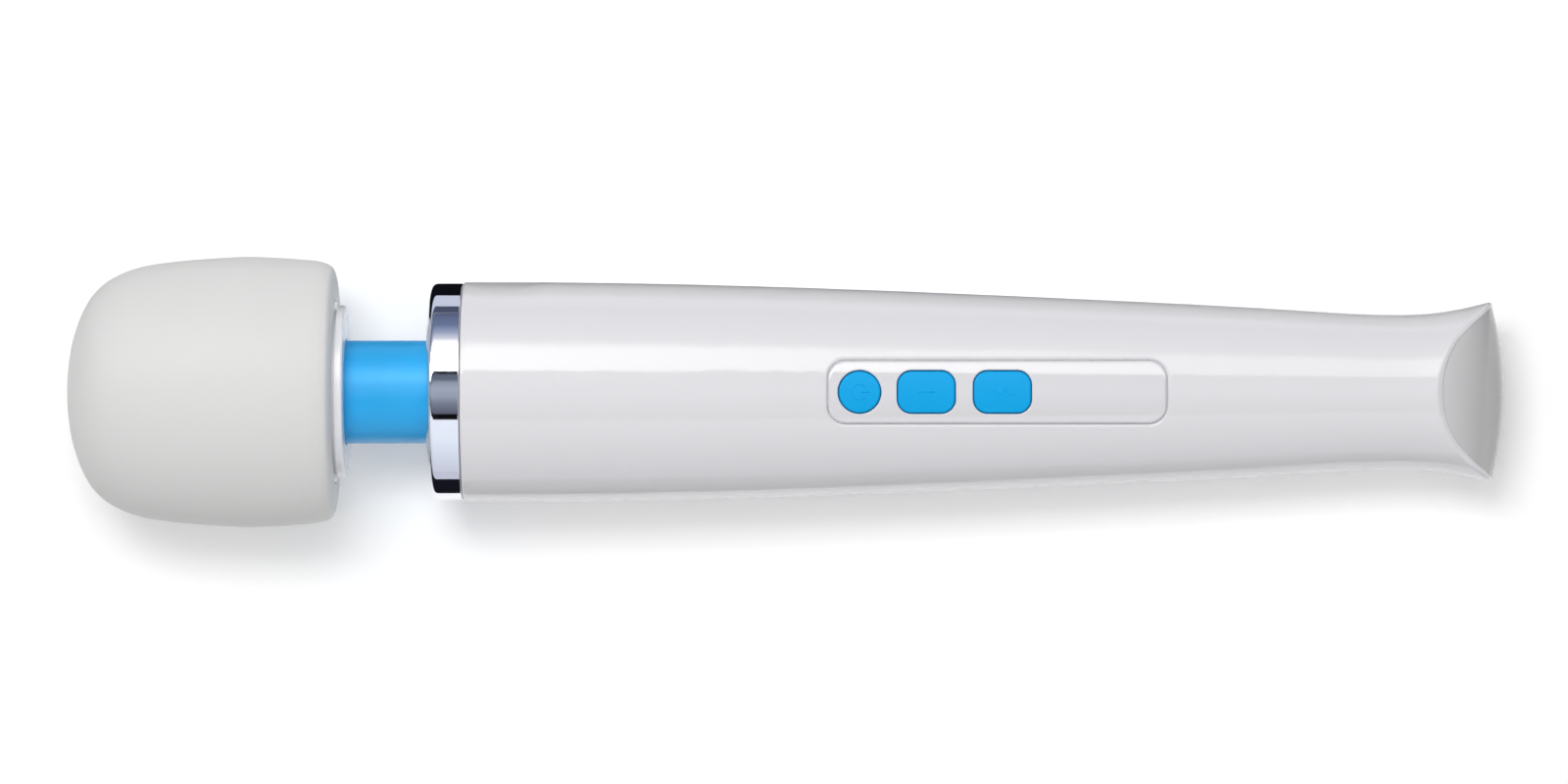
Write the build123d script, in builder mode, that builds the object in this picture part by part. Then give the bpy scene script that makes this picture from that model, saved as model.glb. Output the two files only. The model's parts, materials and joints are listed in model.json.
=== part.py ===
from build123d import *
import math
import os

os.makedirs("parts", exist_ok=True)

# Rechargeable wand massager, millimetres.
# X runs along the wand from the head (-X) to the charging end (+X), Z points out of the key side.
# The origin is on the wand's axis, half way along it.

# ---------------------------------------------------------------- driving dimensions
head_tip_x = -165.0
wall = 2.2
seam_half_gap = 0.06
lip_height = 1.4
collar_front_x = -82.2
collar_rear_x = -74.55
collar_r = 24.8
collar_nose_r = 21.6
handle_front_x = -74.4
handle_front_chamfer = 0.35
cavity_front_x = -72.7
spigot_r = 22.3
spigot_bore_r = 19.8
coupling_hole_r = 7.5

core_rear_x = -106.8
base_rim_front_x = -106.7
base_rim_rear_x = -104.8
base_rim_r = 25.9
base_seat_bore_r = 20.0
disc_front_x = -103.1
disc_rear_x = -101.3
disc_r = 19.8
disc_groove_r = 18.6
disc_inner_x = -102.1
base_neck_r = 20.75
base_pocket_x = -104.25
disc_edge_r = 0.4
cushion_rear_x = -103.7
lip_front_x = -104.7
lip_bore_r = 20.9
neck_r = 11.8
neck_bore_r = 9.4
neck_hole_r = 12.3
neck_flange_r = 15.5
neck_flange = 2.0
neck_front_x = -104.2
neck_rear_x = -77.3
seat_bore_r = 4.4
seat_nose_r = 7.0

spindle_r = 2.98
stub_r = 2.4
drive_coil_r = 3.05
drive_wire_r = 0.55
drive_pitch = 1.35
spring_coil_r = 8.1
spring_wire_r = 0.9
spring_pitch = 3.2

bearing_half = 3.0
race_bore_r = 3.0
inner_land_r = 5.1
outer_land_r = 7.2
bearing_outer_r = 9.45
ball_r = 1.75
ball_pitch_r = 6.15
groove_r = 1.80
ball_count = 8
front_bearing_x = -150.5
rear_bearing_x = -110.5

motor_front_x = -62.0
motor_rear_x = -16.0
motor_r = 18.0
motor_bore_r = 16.8
motor_shaft_r = 1.58
bush_bore_r = 1.62
bush_r = 3.15

cell_r = 9.15
cell_z = -3.0
cell_starts = (-2.2, 64.2)
cell_length = 64.0
chassis_front_x = -6.2
chassis_rear_x = 131.4
chassis_half_y = 11.0
chassis_top_z = 9.4
chassis_floor_z = 7.4

board_x = (6.0, 92.0)
board_half_y = 9.0
board_z = (12.4, 14.0)
switch_top_z = 17.5
plunger_top_z = 18.5
plunger_r = 1.7
lead_r = 0.6

panel_x = (8.6, 85.6)
panel_half_y = 7.25
panel_corner_r = 4.2
panel_gap = 0.25
panel_edge_r = 0.6
panel_depth = 1.5
groove_depth = 0.75
key_hole_edge_r = 0.2
ledge = 1.3
power_key_x = 15.9
level_key_x = 31.0
mode_key_x = 48.2
round_key_r = 4.7
long_key = (12.9, 9.4)
long_key_corner_r = 3.1
key_gap = 0.25
key_inset = 0.12
key_edge_r = 0.4
key_flange = 0.8
key_flange_inset = 1.75
key_depth = 3.3

port_z = -9.0
port_r = 4.2
port_floor_x = 160.4
port_mouth_x = 163.4
port_face_r = 5.3
jack_rear_x = 145.7

case_screws = [(x, side * y) for x, y in ((-68.4, 16.5), (35.0, 14.6), (138.0, 9.0)) for side in (-1, 1)]
case_screw_seat_z = -8.0
case_plug_inner_z = -12.2
case_boss_r = 3.0
case_pilot_r = 1.2
chassis_boss_r = 2.6
chassis_pilot_r = 1.1
mount_rib_starts = (-57.0, -27.0)
seam_lip_x = (-70.0, 146.0)
handle_seat_circle = (17.6, 30)
head_seat_circle = (17.2, 90)
base_screw_circle = (22.5, 90)
plate_screw_circle = (20.8, 30)
screw_slot_half = 0.22
screw_slot_depth = 0.5
beyond = 40.0
chassis_screws = [(x, side * 7.5) for x in (0.5, 110.0) for side in (-1, 1)]
board_screws = [(x, side * 6.5) for x in (10.0, 88.0) for side in (-1, 1)]

# x and radius of the handle's outside
handle_outline = [
    (-46.0, 25.0), (21.3, 23.2), (75.0, 20.9), (115.5, 18.8), (139.0, 17.75), (149.0, 18.3), (160.0, 20.5),
    (168.0, 22.3),
]
handle_front_r = 25.1
# x and radius of the soft head's outside, and of the rigid core inside it
cushion_outline = [
    (-163.2, 13.6), (-158.9, 22.5), (-154.9, 25.9), (-148.6, 28.5), (-140.6, 29.8), (-124.4, 30.85),
    (-108.3, 30.05),
]
cushion_rim = [(-106.0, 29.5), (-104.6, 28.7), (-103.9, 27.2), (cushion_rear_x, 25.2)]
core_outline = [(-154.5, 20.0), (-147.0, 23.8), (-136.0, 25.6), (-124.0, 26.0)]
core_nose = (-159.5, 13.0)
# x and z of the end face along its middle; in plan it bulges about end_bulge_x
end_profile = [
    (141.0, 22.9), (146.5, 18.4), (153.4, 12.9), (158.9, 8.6), (162.4, 3.9), (163.7, -1.5), (163.9, -7.0),
    (163.6, -14.0), (163.0, -22.0),
]
end_bulge_x = 86.0
end_edge_r = 0.7
core_wall = 2.5


# ---------------------------------------------------------------- shared shapes
def turned(*points):
    """Solid turned about the wand's axis from (x, radius) corners."""
    with BuildPart() as body:
        with BuildSketch(Plane.XZ):
            with BuildLine():
                Polyline(*points, close=True)
            make_face()
        revolve(axis=Axis.X)
    return body.part


def tube(x0, x1, r_in, r_out):
    return turned((x0, r_in), (x1, r_in), (x1, r_out), (x0, r_out))


def rod(x0, x1, r, y=0.0, z=0.0):
    """Solid round bar along X."""
    with BuildPart() as body:
        with BuildSketch(Plane.YZ.offset(x0)):
            with Locations((y, z)):
                Circle(r)
        extrude(amount=x1 - x0)
    return body.part


def post(x, y, z0, z1, r):
    """Solid round bar along Z."""
    with BuildPart() as body:
        with BuildSketch(Plane.XY.offset(z0)):
            with Locations((x, y)):
                Circle(r)
        extrude(amount=z1 - z0)
    return body.part


def block(x0, x1, y0, y1, z0, z1):
    with BuildPart() as body:
        with BuildSketch(Plane.XY.offset(z0)):
            with Locations(((x0 + x1) / 2, (y0 + y1) / 2)):
                Rectangle(x1 - x0, y1 - y0)
        extrude(amount=z1 - z0)
    return body.part


def rounded_prism(x0, x1, half_y, corner_r, z0, z1):
    """Upright prism with a rounded rectangular outline."""
    with BuildPart() as body:
        with BuildSketch(Plane.XY.offset(z0)):
            with Locations(((x0 + x1) / 2, 0)):
                RectangleRounded(x1 - x0, 2 * half_y, corner_r)
        extrude(amount=z1 - z0)
    return body.part


def handle_solid(inset):
    """The handle's outer form, shrunk by inset all round."""
    with BuildPart() as body:
        with BuildSketch(Plane.XZ):
            with BuildLine():
                corner = (handle_front_x, handle_front_r - handle_front_chamfer - inset)
                start = (handle_front_x + handle_front_chamfer, handle_front_r - inset)
                side = [(x, r - inset) for x, r in handle_outline]
                foot = (side[-1][0], 0)
                Line((handle_front_x, 0), corner)
                Line(corner, start)
                Spline(start, *side)
                Line(side[-1], foot)
                Line(foot, (handle_front_x, 0))
            make_face()
        revolve(axis=Axis.X)
    return body.part


def handle_radius(x):
    """Outer radius of the handle at x, between the outline's points."""
    points = [(handle_front_x, handle_front_r)] + handle_outline
    for (x0, r0), (x1, r1) in zip(points, points[1:]):
        if x0 <= x <= x1:
            return r0 + (r1 - r0) * (x - x0) / (x1 - x0)


def beyond_end_face(dx, dz):
    """Everything past the slanting, bulging end face, the face shifted by dx and dz."""
    profile = [(x + dx, z + dz) for x, z in end_profile]
    foot = (profile[-1][0], -30.0)
    with BuildPart() as body:
        with BuildSketch(Plane.XZ):
            with BuildLine():
                Spline(*profile, tangents=((0.78, -0.63), (-0.06, -1)))
                Line(profile[-1], foot)
                Line(foot, (190.0, -30.0))
                Line((190.0, -30.0), (190.0, 30.0))
                Line((190.0, 30.0), (profile[0][0], 30.0))
                Line((profile[0][0], 30.0), profile[0])
            make_face()
        revolve(axis=Axis((end_bulge_x, 0, 0), (0, 0, 1)))
    return body.part & block(135, 200, -35, 35, -35, 35)


def skin_edges(body, x0, x1, half_y):
    """Edges of a body on the handle's skin, inside a rectangle seen from the key side."""
    found = []
    for edge in body.edges():
        box = edge.bounding_box()
        middle = edge @ 0.5
        inside = box.min.X > x0 and box.max.X < x1 and max(abs(box.min.Y), abs(box.max.Y)) < half_y
        if inside and middle.Z > 0 and math.hypot(middle.Y, middle.Z) > handle_radius(middle.X) - 0.6:
            found.append(edge)
    return found


def core_solid(inset, rear_x):
    """The head core's outer form, shrunk by inset."""
    with BuildPart() as body:
        with BuildSketch(Plane.XZ):
            with BuildLine():
                nose = (core_nose[0] + 1.4 * inset, core_nose[1] - 0.5 * inset)
                side = [(x + 0.6 * inset, r - inset) for x, r in core_outline]
                Line((nose[0], 0), nose)
                Spline(nose, *side, tangents=((0.55, 0.83), (1, 0)))
                Line(side[-1], (rear_x, side[-1][1]))
                Line((rear_x, side[-1][1]), (rear_x, 0))
                Line((rear_x, 0), (nose[0], 0))
            make_face()
        revolve(axis=Axis.X)
    return body.part


def around(count, radius, start=90.0):
    """Points (y, z) spaced evenly on a circle about the axis."""
    angles = [math.radians(start + 360.0 * i / count) for i in range(count)]
    return [(radius * math.cos(a), radius * math.sin(a)) for a in angles]


def coil(x0, x1, coil_radius, wire_radius, pitch):
    """Helical wire about the wand's axis."""
    with BuildPart() as body:
        with BuildLine() as path:
            Helix(pitch=pitch, height=x1 - x0, radius=coil_radius, center=(x0, 0, 0), direction=(1, 0, 0))
        with BuildSketch(Plane(origin=path.line @ 0, z_dir=path.line % 0)):
            Circle(wire_radius)
        sweep()
    return body.part


def wire(radius, *points):
    """Round wire along straight runs joined by arcs as large as the runs allow."""
    corners = [Vector(*p) for p in points]
    radii = []
    for before, corner, after in zip(corners, corners[1:], corners[2:]):
        turn = (corner - before).get_angle(after - corner)
        shorter = min((corner - before).length, (after - corner).length)
        radii.append(0.45 * shorter / math.tan(math.radians(turn) / 2))
    with BuildPart() as body:
        with BuildLine() as path:
            FilletPolyline(*corners, radius=radii)
        with BuildSketch(Plane(origin=path.line @ 0, z_dir=path.line % 0)):
            Circle(radius)
        sweep()
    return body.part


def screw_x(x_head, x_seat, x_tip, y, z, head_r, shank_r):
    """Pan-head screw along X with a cross recess; the head runs from x_head to x_seat."""
    with BuildPart() as body:
        add(rod(min(x_head, x_seat), max(x_head, x_seat), head_r, y, z))
        add(rod(min(x_seat, x_tip), max(x_seat, x_tip), shank_r, y, z))
        x_lo, x_hi = x_head - screw_slot_depth, x_head + screw_slot_depth
        for half_y, half_z in ((head_r * 0.6, screw_slot_half), (screw_slot_half, head_r * 0.6)):
            add(block(x_lo, x_hi, y - half_y, y + half_y, z - half_z, z + half_z), mode=Mode.SUBTRACT)
    return body.part


def screw_z(z_head, z_seat, z_tip, x, y, head_r, shank_r):
    """Pan-head screw along Z with a cross recess; the head runs from z_head to z_seat."""
    with BuildPart() as body:
        add(post(x, y, min(z_head, z_seat), max(z_head, z_seat), head_r))
        add(post(x, y, min(z_seat, z_tip), max(z_seat, z_tip), shank_r))
        z_lo, z_hi = z_head - screw_slot_depth, z_head + screw_slot_depth
        for half_x, half_y in ((head_r * 0.6, screw_slot_half), (screw_slot_half, head_r * 0.6)):
            add(block(x - half_x, x + half_x, y - half_y, y + half_y, z_lo, z_hi), mode=Mode.SUBTRACT)
    return body.part


# ---------------------------------------------------------------- handle shells
with BuildPart() as handle_form:
    add(handle_solid(0))
    add(beyond_end_face(0, 0), mode=Mode.SUBTRACT)
    end_faces = handle_form.faces().sort_by(Axis.X)[-1]
    fillet(end_faces.edges(), end_edge_r)

with BuildPart() as shell:
    add(handle_form.part)
    add(tube(-79.3, handle_front_x, spigot_bore_r, spigot_r))
    add(rod(-74.9, handle_front_x, spigot_r))
    cavity_box = block(cavity_front_x, handle_outline[-1][0], -beyond, beyond, -beyond, beyond)
    add(handle_solid(wall) & cavity_box, mode=Mode.SUBTRACT)
    add(rod(-76, -70, coupling_hole_r), mode=Mode.SUBTRACT)
    for rib_x in mount_rib_starts:
        add(tube(rib_x - 1.6, rib_x + 7.6, 20.2, 23.3))
        add(tube(rib_x, rib_x + 6.0, 20.0, 21.6), mode=Mode.SUBTRACT)
    add(handle_solid(1.1) & beyond_end_face(-1.95, -1.65), mode=Mode.SUBTRACT)

with BuildPart() as lip_band:
    add(handle_solid(1.2) & block(*seam_lip_x, -beyond, beyond, -1, lip_height))
    add(handle_solid(wall), mode=Mode.SUBTRACT)

with BuildPart() as front_housing:
    add(shell.part & block(-90, 175, -beyond, beyond, seam_half_gap, beyond))
    lip_room = block(seam_lip_x[0] - 0.2, seam_lip_x[1] + 0.2, -beyond, beyond, -1, lip_height + 0.1)
    add(handle_solid(1.1) & lip_room, mode=Mode.SUBTRACT)
    for x, y in case_screws:
        boss_top = math.sqrt((handle_radius(x) - 1) ** 2 - (abs(y) + 1) ** 2)
        add(post(x, y, seam_half_gap, boss_top, case_boss_r) & handle_solid(1.0))
        add(post(x, y, -1, 8.5, case_pilot_r), mode=Mode.SUBTRACT)
    for x, y in chassis_screws:
        add(post(x, y, chassis_top_z + 0.05, 22, chassis_boss_r) & handle_solid(1.0))
        add(post(x, y, 5, chassis_top_z + 4.6, chassis_pilot_r), mode=Mode.SUBTRACT)
    for y, z in around(3, *handle_seat_circle):
        add(rod(-76, -72, 1.1, y, z), mode=Mode.SUBTRACT)
    pocket = rounded_prism(panel_x[0], panel_x[1], panel_half_y, panel_corner_r, 10, 30)
    add(pocket - handle_solid(panel_depth + 0.05), mode=Mode.SUBTRACT)
    fillet(skin_edges(front_housing, panel_x[0] - 0.1, panel_x[1] + 0.1, panel_half_y + 0.1), panel_edge_r)
    add(
        rounded_prism(
            panel_x[0] + ledge, panel_x[1] - ledge, panel_half_y - ledge, panel_corner_r - ledge, 10, 30
        ),
        mode=Mode.SUBTRACT,
    )
front_housing.part.label = "front_housing"
export_step(front_housing.part, "parts/front_housing.step")

with BuildPart() as rear_housing:
    add(shell.part & block(-90, 175, -beyond, beyond, -beyond, -seam_half_gap))
    add(lip_band.part)
    for x, y in case_screws:
        add(post(x, y, -22, case_screw_seat_z + 2, 4.2) & handle_solid(0.5))
        add(post(x, y, case_screw_seat_z, -seam_half_gap, case_boss_r))
        add(post(x, y, -30, case_screw_seat_z, case_boss_r), mode=Mode.SUBTRACT)
        add(post(x, y, case_screw_seat_z - 1, 2, 1.45), mode=Mode.SUBTRACT)
    for y, z in around(3, *handle_seat_circle):
        add(rod(-76, -72, 1.1, y, z), mode=Mode.SUBTRACT)
rear_housing.part.label = "rear_housing"
export_step(rear_housing.part, "parts/rear_housing.step")

with BuildPart() as case_screw_set:
    for x, y in case_screws:
        add(screw_z(case_screw_seat_z - 1.9, case_screw_seat_z - 0.02, 8.0, x, y, 2.6, 1.15))
case_screw_set.part.label = "case_screws"
export_step(case_screw_set.part, "parts/case_screws.step")

with BuildPart() as case_plugs:
    for x, y in case_screws:
        add(post(x, y, -30, case_plug_inner_z, 2.92) & handle_solid(0.15))
case_plugs.part.label = "screw_plugs"
export_step(case_plugs.part, "parts/screw_plugs.step")

# ---------------------------------------------------------------- collar ring
with BuildPart() as collar:
    with BuildSketch(Plane.XZ):
        with BuildLine():
            nose, crown = (collar_front_x, collar_nose_r), (collar_front_x + 2.1, collar_r)
            Spline(nose, (-81.75, 23.35), crown, tangents=((0, 1), (1, 0)))
            Polyline(
                crown, (collar_rear_x - 0.2, collar_r), (collar_rear_x, collar_r - 0.2),
                (collar_rear_x, spigot_r + 0.08), (-79.4, spigot_r + 0.08),
                (-79.4, neck_hole_r), (collar_front_x, neck_hole_r), nose,
            )
        make_face()
    revolve(axis=Axis.X)
collar.part.label = "collar_ring"
export_step(collar.part, "parts/collar_ring.step")

# ---------------------------------------------------------------- key panel and keys
def panel_plate(inset, top_inset):
    """Plate filling the panel's pocket, inset all round, its top below the handle's skin."""
    outline = rounded_prism(
        panel_x[0] + inset, panel_x[1] - inset, panel_half_y - inset, panel_corner_r - inset, 10, 30
    )
    return outline & handle_solid(top_inset)


def key_outline(x, grow, z0, z1):
    if x == power_key_x:
        return post(x, 0, z0, z1, round_key_r + grow)
    half_x = long_key[0] / 2 + grow
    return rounded_prism(x - half_x, x + half_x, long_key[1] / 2 + grow, long_key_corner_r + grow, z0, z1)


with BuildPart() as panel:
    add(panel_plate(panel_gap, 0.02))
    add(handle_solid(panel_depth), mode=Mode.SUBTRACT)
    fillet(skin_edges(panel, panel_x[0], panel_x[1], panel_half_y), panel_edge_r)
    add(panel_plate(0.05, groove_depth) - handle_solid(panel_depth))
    for x in (power_key_x, level_key_x, mode_key_x):
        add(key_outline(x, key_gap, 10, 30), mode=Mode.SUBTRACT)
    holes = skin_edges(panel, panel_x[0] + 2, panel_x[1] - 2, panel_half_y - 1.5)
    fillet(holes, key_hole_edge_r)
panel.part.label = "key_panel"
export_step(panel.part, "parts/key_panel.step")


def key(x):
    """Cap flush with the panel, hidden flange under the panel, stem down to the switch."""
    bottom = handle_radius(x) - key_depth
    with BuildPart() as body:
        add(key_outline(x, 0, bottom, 30) & handle_solid(key_inset))
        fillet(skin_edges(body, x - 8, x + 8, 5), key_edge_r)
        add(key_outline(x, key_flange, bottom, 30) & handle_solid(key_flange_inset))
        add(post(x, 0, plunger_top_z, bottom + 0.1, 1.6))
    return body.part


def plunger(x):
    """Moving button of a tactile switch, with a collar that keeps it in the switch."""
    with BuildPart() as body:
        add(post(x, 0, 16.4, plunger_top_z, plunger_r))
        add(post(x, 0, 16.4, 16.8, 2.2))
    return body.part


with BuildPart() as power_key:
    add(key(power_key_x))
power_key.part.label = "power_key"
export_step(power_key.part, "parts/power_key.step")

with BuildPart() as level_key:
    add(key(level_key_x))
level_key.part.label = "level_key"
export_step(level_key.part, "parts/level_key.step")

with BuildPart() as mode_key:
    add(key(mode_key_x))
mode_key.part.label = "mode_key"
export_step(mode_key.part, "parts/mode_key.step")

with BuildPart() as power_plunger:
    add(plunger(power_key_x))
power_plunger.part.label = "power_plunger"
export_step(power_plunger.part, "parts/power_plunger.step")

with BuildPart() as level_plunger:
    add(plunger(level_key_x))
level_plunger.part.label = "level_plunger"
export_step(level_plunger.part, "parts/level_plunger.step")

with BuildPart() as mode_plunger:
    add(plunger(mode_key_x))
mode_plunger.part.label = "mode_plunger"
export_step(mode_plunger.part, "parts/mode_plunger.step")

# ---------------------------------------------------------------- tail cap and charging inlet
with BuildPart() as tail_cap:
    add(handle_solid(1.13) & beyond_end_face(-1.85, -1.57))
    add(rod(157.5, 166, 6.4, 0, port_z) & handle_solid(wall + 0.1))
    add(beyond_end_face(-0.1, -0.08), mode=Mode.SUBTRACT)
    add(rod(155, port_floor_x + 0.5, 3.95, 0, port_z), mode=Mode.SUBTRACT)
    add(rod(port_floor_x, 170, port_r, 0, port_z), mode=Mode.SUBTRACT)
    add(rod(port_mouth_x, 170, port_face_r, 0, port_z), mode=Mode.SUBTRACT)
tail_cap.part.label = "tail_cap"
export_step(tail_cap.part, "parts/tail_cap.step")

with BuildPart() as jack:
    add(block(jack_rear_x, jack_rear_x + 11, -4.5, 4.5, port_z - 4.5, port_z + 4.5))
    add(rod(jack_rear_x + 10, port_floor_x - 0.1, 3.85, 0, port_z))
    add(rod(jack_rear_x + 5, port_floor_x + 1, 2.75, 0, port_z), mode=Mode.SUBTRACT)
jack.part.label = "charging_jack"
export_step(jack.part, "parts/charging_jack.step")

with BuildPart() as jack_contacts:
    add(rod(jack_rear_x + 5, port_floor_x - 0.9, 1.05, 0, port_z))
    fillet(jack_contacts.edges().filter_by(GeomType.CIRCLE).sort_by(Axis.X)[-1], 0.5)
    for y in (-2.0, 2.0):
        add(block(jack_rear_x - 2.7, jack_rear_x, y - 0.8, y + 0.8, port_z + 1.6, port_z + 2.0))
jack_contacts.part.label = "jack_contacts"
export_step(jack_contacts.part, "parts/jack_contacts.step")

# ---------------------------------------------------------------- chassis, cells and their tabs
with BuildPart() as chassis:
    add(block(chassis_front_x, chassis_rear_x, -chassis_half_y, chassis_half_y, cell_z, chassis_top_z))
    add(block(-4.2, 129.6, -cell_r - 0.2, cell_r + 0.2, cell_z - 1, chassis_floor_z), mode=Mode.SUBTRACT)
    for x in (-3.5, 129.0):
        add(block(x - 0.4, x + 0.4, -2.2, 2.2, 5, 12), mode=Mode.SUBTRACT)
    for x, y in board_screws:
        add(post(x, y, chassis_top_z, board_z[0], 2.2))
        add(post(x, y, chassis_floor_z + 0.6, board_z[0] + 1, 0.95), mode=Mode.SUBTRACT)
    for x, y in chassis_screws:
        add(post(x, y, chassis_floor_z - 1, chassis_top_z + 1, 1.3), mode=Mode.SUBTRACT)
chassis.part.label = "battery_chassis"
export_step(chassis.part, "parts/battery_chassis.step")

with BuildPart() as cells:
    for x in cell_starts:
        add(rod(x, x + cell_length - 1.2, cell_r, 0, cell_z))
        add(rod(x - 0.9, x, 2.9, 0, cell_z))
cells.part.label = "battery_cells"
export_step(cells.part, "parts/battery_cells.step")

with BuildPart() as cell_tabs:
    add(rod(-3.6, -3.2, 5.5, 0, cell_z))
    add(block(-3.6, -3.2, -1.8, 1.8, cell_z, chassis_top_z + 1.2))
    add(rod(61.6, 62.0, 5.5, 0, cell_z))
    add(rod(62.8, 63.2, 5.5, 0, cell_z))
    add(block(61.6, 63.2, -1.8, 1.8, cell_z + 4.4, cell_z + 4.8))
    add(rod(128.8, 129.2, 5.5, 0, cell_z))
    add(block(128.8, 129.2, -1.8, 1.8, cell_z, chassis_top_z + 1.2))
cell_tabs.part.label = "cell_tabs"
export_step(cell_tabs.part, "parts/cell_tabs.step")

with BuildPart() as chassis_screw_set:
    for x, y in chassis_screws:
        add(screw_z(chassis_floor_z - 1.5, chassis_floor_z - 0.02, chassis_top_z + 4.2, x, y, 1.8, 1.05))
chassis_screw_set.part.label = "chassis_screws"
export_step(chassis_screw_set.part, "parts/chassis_screws.step")

# ---------------------------------------------------------------- control board
with BuildPart() as board:
    with BuildSketch(Plane.XY.offset(board_z[0])):
        with Locations((sum(board_x) / 2, 0)):
            RectangleRounded(board_x[1] - board_x[0], 2 * board_half_y, 1.5)
    extrude(amount=board_z[1] - board_z[0])
    for x, y in board_screws:
        add(post(x, y, board_z[0] - 1, board_z[1] + 1, 1.1), mode=Mode.SUBTRACT)
board.part.label = "control_board"
export_step(board.part, "parts/control_board.step")

with BuildPart() as board_screw_set:
    for x, y in board_screws:
        add(screw_z(board_z[1] + 1.2, board_z[1] + 0.02, 8.4, x, y, 1.8, 0.9))
board_screw_set.part.label = "board_screws"
export_step(board_screw_set.part, "parts/board_screws.step")

with BuildPart() as switches:
    for x in (power_key_x, level_key_x, mode_key_x):
        add(block(x - 3, x + 3, -3, 3, board_z[1], switch_top_z))
        add(post(x, 0, 15.5, 17.1, 2.3), mode=Mode.SUBTRACT)
        add(post(x, 0, 15.5, 18, plunger_r + 0.05), mode=Mode.SUBTRACT)
switches.part.label = "tactile_switches"
export_step(switches.part, "parts/tactile_switches.step")

with BuildPart() as chips:
    add(block(62, 69, -3.5, 3.5, board_z[1], board_z[1] + 1.3))
    for i in range(6):
        for y in (-4.2, 3.5):
            add(block(62.7 + 1.1 * i, 63.1 + 1.1 * i, y, y + 0.7, board_z[1], board_z[1] + 0.6))
    for y in (-5.6, 1.6):
        add(block(21.8, 25.0, y, y + 4, board_z[1], board_z[1] + 1.5))
chips.part.label = "board_chips"
export_step(chips.part, "parts/board_chips.step")

with BuildPart() as capacitors:
    for y in (-3.0, 3.0):
        add(post(76, y, board_z[1], board_z[1] + 2.9, 2.4))
capacitors.part.label = "capacitors"
export_step(capacitors.part, "parts/capacitors.step")

with BuildPart() as connectors:
    for x0, x1 in ((8.0, 11.0), (86.6, 90.0)):
        add(block(x0, x1, -3.6, 3.6, board_z[1], board_z[1] + 2.8))
connectors.part.label = "board_connectors"
export_step(connectors.part, "parts/board_connectors.step")

# ---------------------------------------------------------------- leads
with BuildPart() as leads:
    for s in (-1, 1):
        motor_lead = [
            (-8.2, 6 * s, -9.5), (-9.4, 6.6 * s, 0), (-8.6, 4.4 * s, 11.2), (-1, 2.8 * s, 14.0),
            (7.9, 2.2 * s, 15.4),
        ]
        jack_lead = [
            (jack_rear_x - 3.3, 2 * s, port_z + 1.8), (139.0, 2.1 * s, -4.8), (136.8, 2.4 * s, 6.5),
            (131.5, 2.8 * s, 12.4), (112, 3 * s, 12.9), (99, 2.8 * s, 14.8), (90.1, 2.4 * s, 15.4),
        ]
        add(wire(lead_r, *motor_lead))
        add(wire(lead_r, *jack_lead))
    add(wire(lead_r, (-3.4, 0, 11.2), (-1.5, 0, 12.8), (2.5, 0, 14.9), (7.9, 0, 15.4)))
    add(wire(lead_r, (129.0, 0, 11.2), (126, 0, 12.2), (108, 0, 12.6), (96, 0, 15.0), (90.1, 0, 15.4)))
leads.part.label = "internal_leads"
export_step(leads.part, "parts/internal_leads.step")

# ---------------------------------------------------------------- motor
with BuildPart() as motor_can:
    add(tube(motor_front_x, motor_rear_x, motor_bore_r, motor_r))
    add(tube(motor_front_x, motor_front_x + 1.5, bush_r + 0.02, motor_r))
    add(tube(motor_front_x - 2, motor_front_x, bush_r + 0.02, 6.0))
motor_can.part.label = "motor_can"
export_step(motor_can.part, "parts/motor_can.step")

with BuildPart() as magnets:
    add(tube(-54, -26, 12.2, motor_bore_r - 0.02))
    add(block(-60, -20, -20, 20, -6, 6), mode=Mode.SUBTRACT)
magnets.part.label = "motor_magnets"
export_step(magnets.part, "parts/motor_magnets.step")

with BuildPart() as motor_end:
    add(tube(motor_rear_x + 0.05, motor_rear_x + 4, bush_r + 0.02, motor_r - 0.2))
    add(tube(motor_rear_x - 3, motor_rear_x + 0.1, 15.0, motor_bore_r - 0.05))
    for s in (-1, 1):
        add(block(-12.2, -9.2, 6 * s - 1.4, 6 * s + 1.4, -11, -8))
motor_end.part.label = "motor_end_cap"
export_step(motor_end.part, "parts/motor_end_cap.step")

with BuildPart() as bushes:
    add(tube(motor_front_x - 2, motor_front_x + 3, bush_bore_r, bush_r))
    add(tube(motor_rear_x + 0.05, motor_rear_x + 4, bush_bore_r, bush_r))
bushes.part.label = "motor_bushes"
export_step(bushes.part, "parts/motor_bushes.step")

with BuildPart() as brushes:
    for s in (-1, 1):
        add(block(-23, -19.5, min(4.85 * s, 9 * s), max(4.85 * s, 9 * s), -1.6, 1.6))
        add(block(-20.0, -16.0, min(6 * s, 8.5 * s), max(6 * s, 8.5 * s), -1.6, 1.6))
brushes.part.label = "motor_brushes"
export_step(brushes.part, "parts/motor_brushes.step")

with BuildPart() as motor_shaft:
    add(rod(-73.5, -12.6, motor_shaft_r))
motor_shaft.part.label = "motor_shaft"
export_step(motor_shaft.part, "parts/motor_shaft.step")

with BuildPart() as armature:
    add(tube(-54, -26, motor_shaft_r + 0.02, 11.6))
    for y, z in around(7, 8.2):
        add(rod(-55, -25, 2.1, y, z), mode=Mode.SUBTRACT)
    for i in range(7):
        angle = 90 + 360 * i / 7
        add(block(-55, -25, 8, 13, -0.5, 0.5).rotate(Axis.X, angle), mode=Mode.SUBTRACT)
armature.part.label = "motor_armature"
export_step(armature.part, "parts/motor_armature.step")

with BuildPart() as commutator:
    add(tube(-24, -18.5, motor_shaft_r + 0.02, 4.5))
commutator.part.label = "motor_commutator"
export_step(commutator.part, "parts/motor_commutator.step")

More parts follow.
